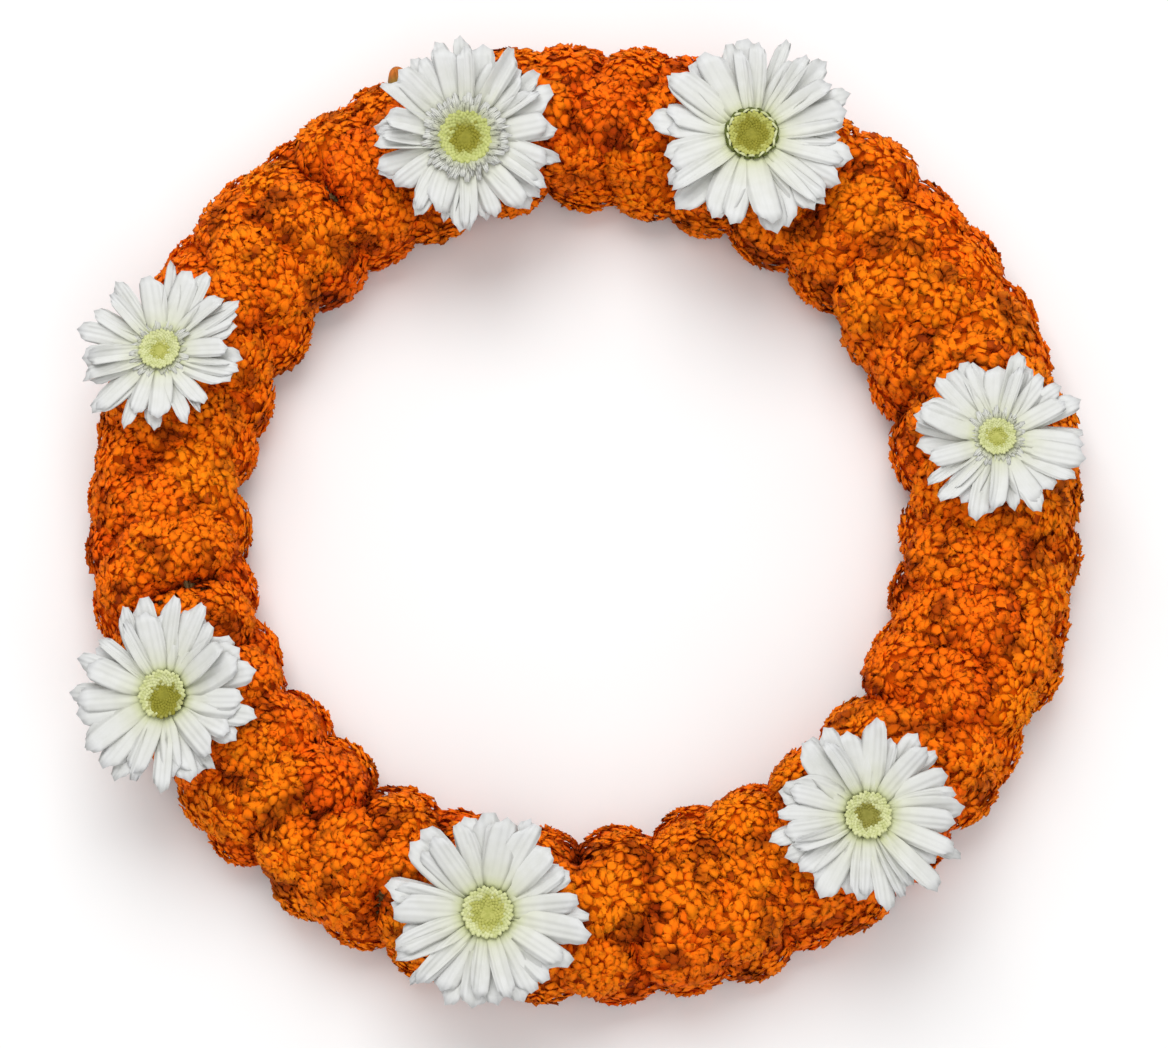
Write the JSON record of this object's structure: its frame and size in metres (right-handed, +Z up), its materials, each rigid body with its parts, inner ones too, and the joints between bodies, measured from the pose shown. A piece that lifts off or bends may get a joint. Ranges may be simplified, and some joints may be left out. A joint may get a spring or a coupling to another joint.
{
  "type": "funeral wreath",
  "caption": "Round funeral wreath that lies flat: rows of orange marigold heads cover a bound straw ring, with white gerberas, a leaf and a bud set among them.",
  "frame": {"origin": "On the surface that the wreath lies on, below the middle of its outline.", "axes": "+Z up out of the wreath's front, +Y towards the top of the wreath when it is stood up, +X to the right seen from the front."},
  "size_m": [0.5572, 0.5608, 0.0909],
  "materials": {
    "straw": "dry pale straw, matt",
    "jute_twine": "coarse jute twine, matt",
    "marigold_petal": "fresh orange petals, matt, with browner folds",
    "gerbera_petal": "fresh white petals, soft sheen",
    "gerbera_disc": "olive green-yellow florets, matt",
    "green_stem": "fresh green stem, slightly hairy, matt",
    "leaf": "dark green leaf, soft sheen",
    "bud": "olive green bud with orange tip, matt"
  },
  "bodies": {
    "root": {"straw_ring": "straw", "binding_twine": "jute_twine", "gerbera_1_petals": "gerbera_petal", "gerbera_1_disc": "gerbera_disc", "gerbera_1_calyx_and_stem": "green_stem", "gerbera_2_petals": "gerbera_petal", "gerbera_2_disc": "gerbera_disc", "gerbera_2_calyx_and_stem": "green_stem", "gerbera_3_petals": "gerbera_petal", "gerbera_3_disc": "gerbera_disc", "gerbera_3_calyx_and_stem": "green_stem", "gerbera_4_petals": "gerbera_petal", "gerbera_4_disc": "gerbera_disc", "gerbera_4_calyx_and_stem": "green_stem", "gerbera_5_petals": "gerbera_petal", "gerbera_5_disc": "gerbera_disc", "gerbera_5_calyx_and_stem": "green_stem", "gerbera_6_petals": "gerbera_petal", "gerbera_6_disc": "gerbera_disc", "gerbera_6_calyx_and_stem": "green_stem", "gerbera_7_petals": "gerbera_petal", "gerbera_7_disc": "gerbera_disc", "gerbera_7_calyx_and_stem": "green_stem", "leaf": "leaf", "marigold_bud": "bud", "marigolds_inner_side_1": "marigold_petal", "marigolds_inner_side_2": "marigold_petal", "marigolds_inner_side_3": "marigold_petal", "marigolds_inner_side_4": "marigold_petal", "marigolds_inner_side_5": "marigold_petal", "marigolds_inner_side_6": "marigold_petal", "marigolds_inner_shoulder_1": "marigold_petal", "marigolds_inner_shoulder_2": "marigold_petal", "marigolds_inner_shoulder_3": "marigold_petal", "marigolds_inner_shoulder_4": "marigold_petal", "marigolds_inner_shoulder_5": "marigold_petal", "marigolds_inner_shoulder_6": "marigold_petal", "marigolds_crown_1": "marigold_petal", "marigolds_crown_2": "marigold_petal", "marigolds_crown_3": "marigold_petal", "marigolds_crown_4": "marigold_petal", "marigolds_crown_5": "marigold_petal", "marigolds_crown_6": "marigold_petal", "marigolds_outer_shoulder_1": "marigold_petal", "marigolds_outer_shoulder_2": "marigold_petal", "marigolds_outer_shoulder_3": "marigold_petal", "marigolds_outer_shoulder_4": "marigold_petal", "marigolds_outer_shoulder_5": "marigold_petal", "marigolds_outer_shoulder_6": "marigold_petal", "marigolds_outer_side_1": "marigold_petal", "marigolds_outer_side_2": "marigold_petal", "marigolds_outer_side_3": "marigold_petal", "marigolds_outer_side_4": "marigold_petal", "marigolds_outer_side_5": "marigold_petal", "marigolds_outer_side_6": "marigold_petal"}
  },
  "joints": []
}
